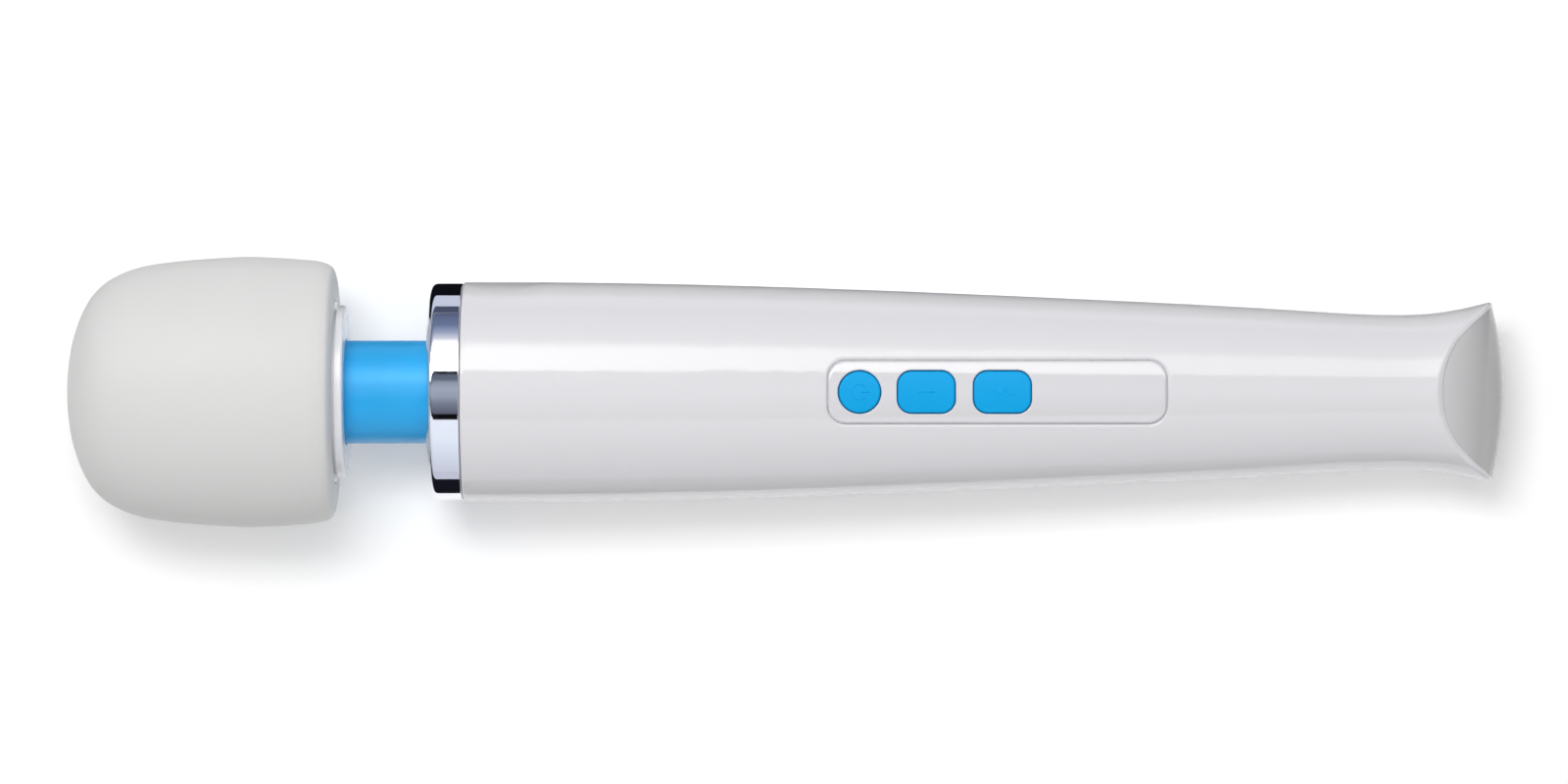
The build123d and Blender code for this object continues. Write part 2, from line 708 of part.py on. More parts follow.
with BuildPart() as motor_mounts:
    for x in mount_rib_starts:
        add(tube(x + 0.1, x + 5.9, motor_r + 0.03, 21.5))
motor_mounts.part.label = "motor_mounts"
export_step(motor_mounts.part, "parts/motor_mounts.step")

with BuildPart() as coupling:
    add(rod(-74.6, -66.5, 5.2))
    add(rod(-84, -74.6, stub_r))
    add(rod(-73.6, -66, motor_shaft_r + 0.02), mode=Mode.SUBTRACT)
    add(post(-70, 0, 1, 6, 1.2), mode=Mode.SUBTRACT)
coupling.part.label = "drive_coupling"
export_step(coupling.part, "parts/drive_coupling.step")

with BuildPart() as coupling_screw:
    add(post(-70, 0, motor_shaft_r + 0.05, 4.9, 1.15))
    add(block(-70.8, -69.2, -0.2, 0.2, 4.4, 5.2), mode=Mode.SUBTRACT)
coupling_screw.part.label = "coupling_screw"
export_step(coupling_screw.part, "parts/coupling_screw.step")

# ---------------------------------------------------------------- neck
with BuildPart() as sleeve:
    add(
        turned(
            (neck_front_x, neck_bore_r), (neck_rear_x, neck_bore_r), (neck_rear_x, neck_flange_r),
            (neck_rear_x - neck_flange, neck_flange_r), (neck_rear_x - neck_flange, neck_r),
            (neck_front_x + neck_flange, neck_r), (neck_front_x + neck_flange, neck_flange_r),
            (neck_front_x, neck_flange_r),
        )
    )
sleeve.part.label = "neck_sleeve"
export_step(sleeve.part, "parts/neck_sleeve.step")

with BuildPart() as neck_spring:
    add(coil(-103.0, -78.6, spring_coil_r, spring_wire_r, spring_pitch))
neck_spring.part.label = "neck_spring"
export_step(neck_spring.part, "parts/neck_spring.step")

with BuildPart() as guide:
    add(tube(-94.5, -88.0, 4.15, 6.9))
guide.part.label = "drive_guide"
export_step(guide.part, "parts/drive_guide.step")

with BuildPart() as flex_drive:
    add(coil(-106.4, -78.4, drive_coil_r, drive_wire_r, drive_pitch))
flex_drive.part.label = "flex_drive"
export_step(flex_drive.part, "parts/flex_drive.step")

with BuildPart() as seat_handle:
    add(tube(-77.2, -75.0, seat_bore_r, 19.6))
    add(tube(-83.5, -77.2, seat_bore_r, seat_nose_r))
    for y, z in around(3, *handle_seat_circle):
        add(rod(-78, -74, 1.2, y, z), mode=Mode.SUBTRACT)
seat_handle.part.label = "neck_seat_handle"
export_step(seat_handle.part, "parts/neck_seat_handle.step")

with BuildPart() as seat_head:
    add(tube(-106.4, -104.32, seat_bore_r, 19.5))
    add(tube(-104.4, -99.5, seat_bore_r, seat_nose_r))
    for y, z in around(3, *head_seat_circle):
        add(rod(-107, -104, 1.1, y, z), mode=Mode.SUBTRACT)
seat_head.part.label = "neck_seat_head"
export_step(seat_head.part, "parts/neck_seat_head.step")

with BuildPart() as handle_seat_screws:
    for y, z in around(3, *handle_seat_circle):
        add(screw_x(-78.6, -77.22, -73.0, y, z, 1.8, 1.05))
handle_seat_screws.part.label = "neck_screws_handle"
export_step(handle_seat_screws.part, "parts/neck_screws_handle.step")

with BuildPart() as head_seat_screws:
    for y, z in around(3, *head_seat_circle):
        add(screw_x(-107.6, -106.42, -102.8, y, z, 1.7, 0.95))
head_seat_screws.part.label = "neck_screws_head"
export_step(head_seat_screws.part, "parts/neck_screws_head.step")

# ---------------------------------------------------------------- head shell
with BuildPart() as cushion:
    with BuildSketch(Plane.XZ):
        with BuildLine():
            Spline((head_tip_x, 0), *cushion_outline, *cushion_rim, tangents=((0, 1), (0, -1)))
            Polyline(
                cushion_rim[-1], (cushion_rear_x, lip_bore_r + 0.4), (cushion_rear_x - 0.4, lip_bore_r),
                (lip_front_x, lip_bore_r), (lip_front_x, 0), (head_tip_x, 0),
            )
        make_face()
    revolve(axis=Axis.X)
    add(core_solid(-0.03, lip_front_x), mode=Mode.SUBTRACT)
cushion.part.label = "head_cushion"
export_step(cushion.part, "parts/head_cushion.step")

with BuildPart() as core:
    add(core_solid(0, core_rear_x))
    add(core_solid(core_wall, core_rear_x + 1), mode=Mode.SUBTRACT)
    add(tube(-157.0, front_bearing_x + bearing_half, bearing_outer_r + 0.03, 12.6))
    for y, z in around(3, *base_screw_circle):
        add(rod(-117, core_rear_x, 2.9, y, z))
        add(rod(-116, -105, 1.05, y, z), mode=Mode.SUBTRACT)
    for y, z in around(3, *plate_screw_circle):
        add(rod(-122, -113.6, 2.8, y, z))
        add(rod(-120, -113, 1.05, y, z), mode=Mode.SUBTRACT)
core.part.label = "head_core"
export_step(core.part, "parts/head_core.step")

with BuildPart() as base:
    with BuildSketch(Plane.XZ):
        with BuildLine():
            Polyline(
                (disc_rear_x, neck_hole_r + 0.1), (disc_rear_x, disc_r - disc_edge_r),
                (disc_rear_x - disc_edge_r, disc_r), (disc_front_x, disc_r), (disc_front_x, disc_groove_r),
                (cushion_rear_x, disc_groove_r), (cushion_rear_x, base_neck_r),
                (base_rim_rear_x, base_neck_r), (base_rim_rear_x, base_rim_r),
                (base_rim_front_x, base_rim_r), (base_rim_front_x, base_seat_bore_r),
                (base_pocket_x, base_seat_bore_r), (base_pocket_x, neck_flange_r + 0.3),
                (disc_inner_x, neck_flange_r + 0.3), (disc_inner_x, neck_hole_r - 0.1),
                (disc_rear_x - 0.2, neck_hole_r - 0.1), (disc_rear_x, neck_hole_r + 0.1),
            )
        make_face()
    revolve(axis=Axis.X)
    for y, z in around(3, *base_screw_circle):
        add(rod(-107, -104, 1.2, y, z), mode=Mode.SUBTRACT)
        add(rod(base_rim_front_x + 0.7, -104, 1.75, y, z), mode=Mode.SUBTRACT)
    for y, z in around(3, *head_seat_circle):
        add(rod(-105, -102.6, 1.0, y, z), mode=Mode.SUBTRACT)
base.part.label = "head_base"
export_step(base.part, "parts/head_base.step")

with BuildPart() as base_screws:
    for y, z in around(3, *base_screw_circle):
        add(screw_x(base_rim_rear_x - 0.05, base_rim_front_x + 0.72, -115.5, y, z, 1.65, 1.0))
base_screws.part.label = "head_base_screws"
export_step(base_screws.part, "parts/head_base_screws.step")

with BuildPart() as bearing_plate:
    add(tube(-113.5, -110.0, bearing_outer_r + 0.03, 23.3))
    add(tube(-113.5, rear_bearing_x + bearing_half, bearing_outer_r + 0.03, 12.4))
    for y, z in around(3, *base_screw_circle):
        add(rod(-115, -108, 3.2, y, z), mode=Mode.SUBTRACT)
    for y, z in around(3, *plate_screw_circle):
        add(rod(-115, -108, 1.2, y, z), mode=Mode.SUBTRACT)
bearing_plate.part.label = "bearing_plate"
export_step(bearing_plate.part, "parts/bearing_plate.step")

with BuildPart() as plate_screws:
    for y, z in around(3, *plate_screw_circle):
        add(screw_x(-108.6, -109.98, -119.5, y, z, 1.8, 1.0))
plate_screws.part.label = "bearing_plate_screws"
export_step(plate_screws.part, "parts/bearing_plate_screws.step")


# ---------------------------------------------------------------- ball bearings
def race(x, r_in, r_out):
    """Bearing ring with a round groove for the balls."""
    with BuildPart() as body:
        with BuildSketch(Plane.XZ):
            with Locations((x, (r_in + r_out) / 2)):
                Rectangle(2 * bearing_half, r_out - r_in)
            with Locations((x, ball_pitch_r)):
                Circle(groove_r, mode=Mode.SUBTRACT)
        revolve(axis=Axis.X)
    return body.part


def balls(x):
    with BuildPart() as body:
        for y, z in around(ball_count, ball_pitch_r):
            with Locations((x, y, z)):
                Sphere(ball_r)
    return body.part


def cage(x):
    """Ring that spaces the balls, with a round pocket for each."""
    with BuildPart() as body:
        add(tube(x - 2.2, x + 2.2, 5.45, 6.85))
        for y, z in around(ball_count, ball_pitch_r):
            with Locations((x, y, z)):
                Sphere(ball_r + 0.06, mode=Mode.SUBTRACT)
    return body.part


with BuildPart() as outer_races:
    for x in (front_bearing_x, rear_bearing_x):
        add(race(x, outer_land_r, bearing_outer_r))
outer_races.part.label = "bearing_outer_races"
export_step(outer_races.part, "parts/bearing_outer_races.step")

with BuildPart() as inner_races:
    for x in (front_bearing_x, rear_bearing_x):
        add(race(x, race_bore_r, inner_land_r))
inner_races.part.label = "bearing_inner_races"
export_step(inner_races.part, "parts/bearing_inner_races.step")

for place, x in (("front", front_bearing_x), ("rear", rear_bearing_x)):
    for kind, piece in (("balls", balls(x)), ("cage", cage(x))):
        piece.label = f"{place}_{kind}"
        export_step(piece, f"parts/{place}_{kind}.step")

# ---------------------------------------------------------------- spindle and eccentric weight
with BuildPart() as spindle:
    add(rod(-154.5, -107.3, spindle_r))
    add(rod(-107.3, -101.0, stub_r))
spindle.part.label = "head_spindle"
export_step(spindle.part, "parts/head_spindle.step")

weight_x = (-141.0, -119.0)
with BuildPart() as weight:
    add(rod(weight_x[0], weight_x[1], 15.0) & block(-150, -110, -20, 20, -20, 0))
    add(rod(weight_x[0], weight_x[1], 6.2))
    add(rod(-150, -110, spindle_r + 0.02), mode=Mode.SUBTRACT)
    add(post(-130, 0, 1, 8, 1.5), mode=Mode.SUBTRACT)
weight.part.label = "eccentric_weight"
export_step(weight.part, "parts/eccentric_weight.step")

with BuildPart() as weight_screw:
    add(post(-130, 0, spindle_r + 0.05, 6.0, 1.45))
    add(block(-131, -129, -0.25, 0.25, 5.4, 6.4), mode=Mode.SUBTRACT)
weight_screw.part.label = "weight_screw"
export_step(weight_screw.part, "parts/weight_screw.step")
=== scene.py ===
import json
import math
import bpy
import bmesh
from mathutils import Matrix, Vector
from mathutils.bvhtree import BVHTree


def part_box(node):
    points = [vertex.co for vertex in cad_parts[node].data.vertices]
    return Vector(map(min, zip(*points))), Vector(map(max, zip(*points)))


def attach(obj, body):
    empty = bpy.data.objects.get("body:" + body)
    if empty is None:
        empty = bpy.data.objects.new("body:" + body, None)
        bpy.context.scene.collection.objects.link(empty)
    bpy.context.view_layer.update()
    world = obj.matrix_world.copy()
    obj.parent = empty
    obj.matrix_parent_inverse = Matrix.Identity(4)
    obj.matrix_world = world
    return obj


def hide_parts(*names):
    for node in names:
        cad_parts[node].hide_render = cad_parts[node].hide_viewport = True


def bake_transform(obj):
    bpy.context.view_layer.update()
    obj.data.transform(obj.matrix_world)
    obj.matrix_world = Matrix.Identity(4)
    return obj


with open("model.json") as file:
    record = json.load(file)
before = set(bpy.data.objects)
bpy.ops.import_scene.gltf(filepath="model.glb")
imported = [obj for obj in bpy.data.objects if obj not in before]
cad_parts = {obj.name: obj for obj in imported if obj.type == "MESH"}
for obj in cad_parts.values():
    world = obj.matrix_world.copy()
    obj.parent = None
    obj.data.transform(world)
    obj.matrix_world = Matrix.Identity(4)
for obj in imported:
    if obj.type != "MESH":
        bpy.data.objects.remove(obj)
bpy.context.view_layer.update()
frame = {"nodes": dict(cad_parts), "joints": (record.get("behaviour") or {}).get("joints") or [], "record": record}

nodes = frame["nodes"]
scene = bpy.context.scene

# ---------------------------------------------------------------- camera
CAMERA_HEIGHT = 1.682
CAMERA_X = -0.00115
SENSOR = 36.0
LENS = 168.7

camera_data = bpy.data.cameras.new("camera")
camera_data.sensor_width = SENSOR
camera_data.lens = LENS
camera_data.clip_end = 20
camera = bpy.data.objects.new("camera", camera_data)
scene.collection.objects.link(camera)
camera.location = (CAMERA_X, 0, CAMERA_HEIGHT)
scene.camera = camera
scene.view_settings.view_transform = "Standard"
scene.view_settings.look = "None"


MM = 0.001
HIDDEN_RADIUS = 1e-7


# ---------------------------------------------------------------- small helpers
def mesh_object(name, bm, smooth=True):
    mesh = bpy.data.meshes.new(name)
    bm.to_mesh(mesh)
    bm.free()
    mesh.polygons.foreach_set("use_smooth", [smooth] * len(mesh.polygons))
    obj = bpy.data.objects.new(name, mesh)
    scene.collection.objects.link(obj)
    return obj


def paint(obj, mat):
    for held in obj.material_slots:
        held.material = mat
    if not obj.material_slots:
        obj.data.materials.append(mat)


def through(points, steps):
    """A smooth line through the points, with the given number of steps from each to the next."""
    line = []
    last = len(points) - 1
    for i in range(last):
        a, b = Vector(points[i]), Vector(points[i + 1])
        before = Vector(points[i - 1]) if i > 0 else a * 2 - b
        after = Vector(points[i + 2]) if i + 2 <= last else b * 2 - a
        span = (b - a).length
        lead = (b - before) * (span / max((a - before).length + span, 1e-9))
        trail = (after - a) * (span / max((after - b).length + span, 1e-9))
        for k in range(steps):
            t = k / steps
            line.append(
                a * (2 * t**3 - 3 * t**2 + 1)
                + lead * (t**3 - 2 * t**2 + t)
                + b * (3 * t**2 - 2 * t**3)
                + trail * (t**3 - t**2)
            )
    line.append(Vector(points[last]))
    return line


def lathe(name, outline, count):
    """A surface of revolution about the X axis. The outline's points are (x, radius), in metres."""
    bm = bmesh.new()
    rings = []
    for x, r in outline:
        if r < HIDDEN_RADIUS:
            rings.append([bm.verts.new((x, 0, 0))])
            continue
        turn = [2 * math.pi * k / count for k in range(count)]
        rings.append([bm.verts.new((x, r * math.sin(a), r * math.cos(a))) for a in turn])
    for one, two in zip(rings, rings[1:]):
        for k in range(count):
            n = (k + 1) % count
            corners = [one[k % len(one)], two[k % len(two)], two[n % len(two)], one[n % len(one)]]
            unique = list(dict.fromkeys(corners))
            if len(unique) > 2:
                bm.faces.new(unique)
    bmesh.ops.recalc_face_normals(bm, faces=bm.faces)
    return mesh_object(name, bm)


# ---------------------------------------------------------------- materials
def surface(
    name,
    color,
    rough,
    tint=0.015,
    tint_scale=30.0,
    rough_spread=0.04,
    rough_scale=220.0,
    grain=900.0,
    grain_depth=2e-6,
    stretch=(1, 1, 1),
    edge=0.00015,
    wear=0.0,
    wear_color=None,
    painted_shade=None,
    **inputs,
):
    """A moulded, machined or coated surface: slow colour drift, uneven gloss, fine grain, and edges
    that are eased and, with wear, rubbed. The shading span, given as (x0, x1, share), is painted shade: the tone
    falls to that share from x0 to x1 along the object, where the surface turns from the light."""
    mat = bpy.data.materials.new(name)
    mat.use_nodes = True
    tree = mat.node_tree
    make, join = tree.nodes.new, tree.links.new
    shader = tree.nodes["Principled BSDF"]
    shader.inputs["Base Color"].default_value = (*color, 1)
    for key, value in inputs.items():
        shader.inputs[key.replace("_", " ")].default_value = value

    place = make("ShaderNodeTexCoord")
    drawn = make("ShaderNodeMapping")
    drawn.inputs["Scale"].default_value = stretch
    join(place.outputs["Object"], drawn.inputs["Vector"])

    drift = make("ShaderNodeTexNoise")
    drift.inputs["Scale"].default_value = tint_scale
    drift.inputs["Detail"].default_value = 3
    join(place.outputs["Object"], drift.inputs["Vector"])
    shade = make("ShaderNodeMix")
    shade.data_type = "RGBA"
    shade.inputs["A"].default_value = (*[c * (1 - tint) for c in color], 1)
    shade.inputs["B"].default_value = (*[min(1, c * (1 + tint)) for c in color], 1)
    join(drift.outputs["Fac"], shade.inputs["Factor"])
    tone = shade.outputs["Result"]
    # painted shade: the tone is darkened along X, standing in for light falling off towards that end
    if painted_shade:
        along = make("ShaderNodeSeparateXYZ")
        join(place.outputs["Object"], along.inputs["Vector"])
        shade_ramp = make("ShaderNodeMapRange")
        shade_ramp.inputs["From Min"].default_value = painted_shade[0]
        shade_ramp.inputs["From Max"].default_value = painted_shade[1]
        shade_ramp.inputs["To Min"].default_value = 1.0
        shade_ramp.inputs["To Max"].default_value = painted_shade[2]
        join(along.outputs["X"], shade_ramp.inputs["Value"])
        shaded_tone = make("ShaderNodeVectorMath")
        shaded_tone.operation = "SCALE"
        join(tone, shaded_tone.inputs[0])
        join(shade_ramp.outputs["Result"], shaded_tone.inputs["Scale"])
        tone = shaded_tone.outputs["Vector"]

    patches = make("ShaderNodeTexNoise")
    patches.inputs["Scale"].default_value = rough_scale
    patches.inputs["Detail"].default_value = 4
    join(drawn.outputs["Vector"], patches.inputs["Vector"])
    gloss = make("ShaderNodeMapRange")
    gloss.inputs["From Min"].default_value = 0.3
    gloss.inputs["From Max"].default_value = 0.7
    gloss.inputs["To Min"].default_value = max(0.01, rough - rough_spread)
    gloss.inputs["To Max"].default_value = rough + rough_spread
    join(patches.outputs["Fac"], gloss.inputs["Value"])
    dullness = gloss.outputs["Result"]

    eased = make("ShaderNodeBevel")
    eased.samples = 4
    eased.inputs["Radius"].default_value = edge

    if wear:
        geometry = make("ShaderNodeNewGeometry")
        turn = make("ShaderNodeVectorMath")
        turn.operation = "DOT_PRODUCT"
        join(eased.outputs["Normal"], turn.inputs[0])
        join(geometry.outputs["Normal"], turn.inputs[1])
        rub = make("ShaderNodeMapRange")
        rub.inputs["From Min"].default_value = 0.995
        rub.inputs["From Max"].default_value = 0.80
        rub.inputs["To Min"].default_value = 0.0
        rub.inputs["To Max"].default_value = wear
        join(turn.outputs["Value"], rub.inputs["Value"])
        broken = make("ShaderNodeMath")
        broken.operation = "MULTIPLY"
        join(rub.outputs["Result"], broken.inputs[0])
        join(patches.outputs["Fac"], broken.inputs[1])
        rubbed = make("ShaderNodeMix")
        rubbed.data_type = "RGBA"
        rubbed.inputs["B"].default_value = (*(wear_color or [min(1, c * 1.25 + 0.02) for c in color]), 1)
        join(tone, rubbed.inputs["A"])
        join(broken.outputs["Value"], rubbed.inputs["Factor"])
        tone = rubbed.outputs["Result"]
        duller = make("ShaderNodeMath")
        duller.operation = "ADD"
        duller.use_clamp = True
        join(dullness, duller.inputs[0])
        join(broken.outputs["Value"], duller.inputs[1])
        dullness = duller.outputs["Value"]

    pits = make("ShaderNodeTexNoise")
    pits.inputs["Scale"].default_value = grain
    pits.inputs["Detail"].default_value = 5
    pits.inputs["Roughness"].default_value = 0.6
    join(drawn.outputs["Vector"], pits.inputs["Vector"])
    bump = make("ShaderNodeBump")
    bump.inputs["Strength"].default_value = 1.0
    bump.inputs["Distance"].default_value = grain_depth
    join(pits.outputs["Fac"], bump.inputs["Height"])
    join(eased.outputs["Normal"], bump.inputs["Normal"])

    join(tone, shader.inputs["Base Color"])
    join(dullness, shader.inputs["Roughness"])
    join(bump.outputs["Normal"], shader.inputs["Normal"])
    return mat


TURNED = (40, 1, 1)
# run along X over which the tail end's painted shade deepens
PAINTED_SHADE_RUN = 0.0145
tail_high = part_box("tail_cap")[1]

looks = {
    "shell_white": surface(
        "shell_white", (0.815, 0.808, 0.835), 0.10, tint=0.006, tint_scale=14,
        rough_spread=0.025, rough_scale=60,
        grain=260, grain_depth=1.5e-6, edge=0.00025, wear=0.15, Specular_IOR_Level=0.5, IOR=1.5,
    ),
    "panel_white": surface(
        "panel_white", (0.80, 0.793, 0.82), 0.085, tint=0.006, tint_scale=20,
        rough_spread=0.02, rough_scale=80,
        grain=320, grain_depth=1.2e-6, edge=0.0003, wear=0.15, Specular_IOR_Level=0.8,
    ),
    "base_white": surface(
        "base_white", (0.93, 0.93, 0.95), 0.20, tint=0.01, rough_spread=0.04, grain=700, grain_depth=2e-6,
        edge=0.0002, wear=0.1,
    ),
    "cushion_white": surface(
        "cushion_white", (0.76, 0.76, 0.752), 0.55, tint=0.012, tint_scale=45,
        rough_spread=0.06, rough_scale=160,
        grain=2400, grain_depth=6e-6, edge=0.0001, Specular_IOR_Level=0.14,
        Subsurface_Weight=0.06, Subsurface_Radius=(1.0, 0.9, 0.75), Subsurface_Scale=0.0015,
    ),
    "neck_blue": surface(
        "neck_blue", (0.017, 0.40, 0.82), 0.34, tint=0.03, tint_scale=60, rough_spread=0.06, rough_scale=300,
        grain=1800, grain_depth=5e-6, edge=0.0002, Specular_IOR_Level=0.42,
    ),
    "key_blue": surface(
        "key_blue", (0.002, 0.41, 0.86), 0.42, tint=0.02, tint_scale=80, rough_spread=0.05, rough_scale=400,
        grain=2200, grain_depth=4e-6, edge=0.0003, wear=0.08, Specular_IOR_Level=0.12,
    ),
    "chrome": surface(
        "chrome", (0.86, 0.87, 0.91), 0.045, tint=0.01, rough_spread=0.02, rough_scale=150,
        grain=500, grain_depth=3e-7, edge=0.0003, Metallic=1.0,
    ),
    # tail end: its grey, darker than the shell's white, is painted shade, and the tone darkens further towards the
    # end as painted shade where the end face turns from the light
    "tail_grey": surface(
        "tail_grey", (0.74, 0.74, 0.75), 0.16, tint=0.01, tint_scale=40, rough_spread=0.03, rough_scale=120,
        grain=500, grain_depth=1.5e-6, edge=0.0003, wear=0.15,
        painted_shade=(tail_high.x - PAINTED_SHADE_RUN, tail_high.x, 0.52),
    ),
    "black_plastic": surface(
        "black_plastic", (0.012, 0.012, 0.013), 0.42, tint=0.2, grain=1500, grain_depth=8e-6, wear=0.3,
    ),
    "grey_plastic": surface(
        "grey_plastic", (0.10, 0.105, 0.115), 0.48, tint=0.08, grain=1400, grain_depth=8e-6, wear=0.2,
    ),
    "white_plastic": surface(
        "white_plastic", (0.62, 0.62, 0.61), 0.42, tint=0.03, grain=1400, grain_depth=6e-6, wear=0.1,
    ),
    "steel": surface(
        "steel", (0.56, 0.56, 0.58), 0.26, tint=0.04, rough_spread=0.08, grain=300, grain_depth=3e-6,
        stretch=TURNED, wear=0.2, Metallic=1.0,
    ),
    "zinc_steel": surface(
        "zinc_steel", (0.62, 0.63, 0.65), 0.34, tint=0.08, tint_scale=400, rough_spread=0.1, grain=1800,
        grain_depth=4e-6, wear=0.2, Metallic=1.0,
    ),
    "spring_steel": surface(
        "spring_steel", (0.30, 0.30, 0.32), 0.30, tint=0.06, rough_spread=0.08, grain=2600,
        grain_depth=3e-6, Metallic=1.0,
    ),
    "nickel": surface(
        "nickel", (0.66, 0.63, 0.57), 0.28, tint=0.04, rough_spread=0.08, grain=900, grain_depth=3e-6,
        stretch=(1, 12, 1), Metallic=1.0,
    ),
    "copper_contact": surface(
        "copper_contact", (0.72, 0.45, 0.30), 0.30, tint=0.08, rough_spread=0.08, grain=900,
        grain_depth=3e-6, wear=0.2, Metallic=1.0,
    ),
    "bronze": surface(
        "bronze", (0.42, 0.26, 0.12), 0.45, tint=0.12, tint_scale=300, rough_spread=0.08, grain=2600,
        grain_depth=9e-6, wear=0.2, Metallic=1.0,
    ),
    "magnet": surface(
        "magnet", (0.02, 0.02, 0.022), 0.5, tint=0.2, tint_scale=200, grain=2200, grain_depth=1.2e-5,
        wear=0.35,
    ),
    "board_green": surface(
        "board_green", (0.006, 0.10, 0.035), 0.30, tint=0.25, tint_scale=500, grain=1600, grain_depth=8e-6,
        wear=0.3, wear_color=(0.45, 0.42, 0.25),
    ),
    "cell_wrap": surface(
        "cell_wrap", (0.012, 0.10, 0.33), 0.22, tint=0.06, rough_spread=0.05, grain=240, grain_depth=2e-5,
        wear=0.1,
    ),
    "lead_red": surface(
        "lead_red", (0.34, 0.008, 0.006), 0.40, tint=0.06, grain=1500, grain_depth=6e-6,
    ),
    "mount_rubber": surface(
        "mount_rubber", (0.012, 0.012, 0.012), 0.7, tint=0.2, grain=1800, grain_depth=1.5e-5,
    ),
}
for part in frame["record"]["subparts"]:
    paint(nodes[part["node"]], looks[part["material_slot"]])

# ---------------------------------------------------------------- head cushion: one moulded silicone cup
HEAD_WIDEST = 40.6
CUP_STEPS = 8
RIM_STEPS = 6
CUP_SEGMENTS = 160
head_low, head_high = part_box("head_cushion")
tip = head_low.x
head_r = (head_high.z - head_low.z) / 2

# (distance behind the tip, radius) in mm
outside = [
    (0.0, 0.0), (0.25, 5.2), (0.9, 9.9), (1.8, 13.6), (3.6, 18.4), (6.1, 22.5), (10.1, 25.9), (16.4, 28.5),
    (24.4, 29.8), (32.4, 30.5), (HEAD_WIDEST, head_r / MM), (48.6, 30.67), (56.7, 30.05), (59.0, 29.5),
]
rim = [(59.0, 29.5), (60.4, 28.7), (61.1, 27.2), (61.3, 25.2), (61.3, 21.3), (60.9, 20.95)]
inside = [
    (60.3, 20.95), (60.3, 26.0), (41.0, 26.0), (29.0, 25.6), (18.0, 23.8), (10.5, 20.0), (5.5, 13.0),
    (5.5, 0.0),
]
cup = through(outside, CUP_STEPS)[:-1] + through(rim, RIM_STEPS) + [Vector(p) for p in inside]
cushion = lathe("silicone_head_cushion", [(tip + x * MM, r * MM) for x, r in cup], CUP_SEGMENTS)
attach(cushion, "head")
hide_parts("head_cushion")
paint(cushion, looks["cushion_white"])

# ---------------------------------------------------------------- neck sleeve, in two lengths
low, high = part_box("neck_sleeve")
pitch_x = next(j for j in frame["joints"] if j["name"] == "neck_pitch")["pos_m"][0]
yaw_x = next(j for j in frame["joints"] if j["name"] == "neck_yaw")["pos_m"][0]
middle = (pitch_x + yaw_x) / 2
SLEEVE_R = 11.8 * MM
SLEEVE_BORE = 9.4 * MM
FLANGE_R = 15.5 * MM
FLANGE = 2.0 * MM
FLANGE_EASE = 0.6 * MM
FLANGE_EDGE = 0.3 * MM
SLEEVE_STEPS = 40
SLEEVE_SEGMENTS = 128


def sleeve_half(name, end, way):
    """Half of the sleeve, from the middle of the neck to its flange at end. way is +1 towards the handle."""
    foot = end - way * FLANGE
    reach = foot - FLANGE_EASE * way - middle
    outer = [(middle + reach * k / SLEEVE_STEPS, SLEEVE_R) for k in range(SLEEVE_STEPS + 1)]
    for a in (0.4, 0.8, 1.2, 1.5):
        x = foot - FLANGE_EASE * way * (1 - math.sin(a))
        outer.append((x, SLEEVE_R + FLANGE_EASE * (1 - math.cos(a))))
    outer += [(foot, FLANGE_R - FLANGE_EDGE), (foot + FLANGE_EDGE * way, FLANGE_R), (end, FLANGE_R)]
    inner = [(end + (middle - end) * k / SLEEVE_STEPS, SLEEVE_BORE) for k in range(SLEEVE_STEPS + 1)]
    half = lathe(name, outer + inner, SLEEVE_SEGMENTS)
    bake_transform(half)
    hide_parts("neck_sleeve")
    paint(half, looks["neck_blue"])


sleeve_half("neck_sleeve_rear", high.x, 1)
sleeve_half("neck_sleeve_front", low.x, -1)


def spring_half(name, side):
    """Half of the neck's support spring, cut at the middle of the neck."""
    bm = bmesh.new()
    bm.from_mesh(nodes["neck_spring"].data)
    cut = bmesh.ops.bisect_plane(
        bm,
        geom=bm.verts[:] + bm.edges[:] + bm.faces[:],
        plane_co=(middle, 0, 0),
        plane_no=(-side, 0, 0),
        clear_outer=True,
    )
    loose = [e for e in cut["geom_cut"] if isinstance(e, bmesh.types.BMEdge)]
    bmesh.ops.holes_fill(bm, edges=loose)
    half = mesh_object(name, bm)
    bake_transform(half)
    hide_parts("neck_spring")
    paint(half, looks["spring_steel"])


spring_half("neck_spring_rear", 1)
spring_half("neck_spring_front", -1)

# ---------------------------------------------------------------- faint raised marks on the keys
MARK_HALF = 0.2 * MM
MARK_RISE = 0.14 * MM
MARK_SUNK = 0.1 * MM
MARK_DROP = 10 * MM
WAVE_HALF = 2.6
WAVE_RISE = 0.7
WAVE_STEPS = 40


def arc(cx, cy, r, a0, a1, count=24):
    turn = [math.radians(a0 + (a1 - a0) * k / count) for k in range(count + 1)]
    return [(cx + r * math.cos(a), cy + r * math.sin(a)) for a in turn]


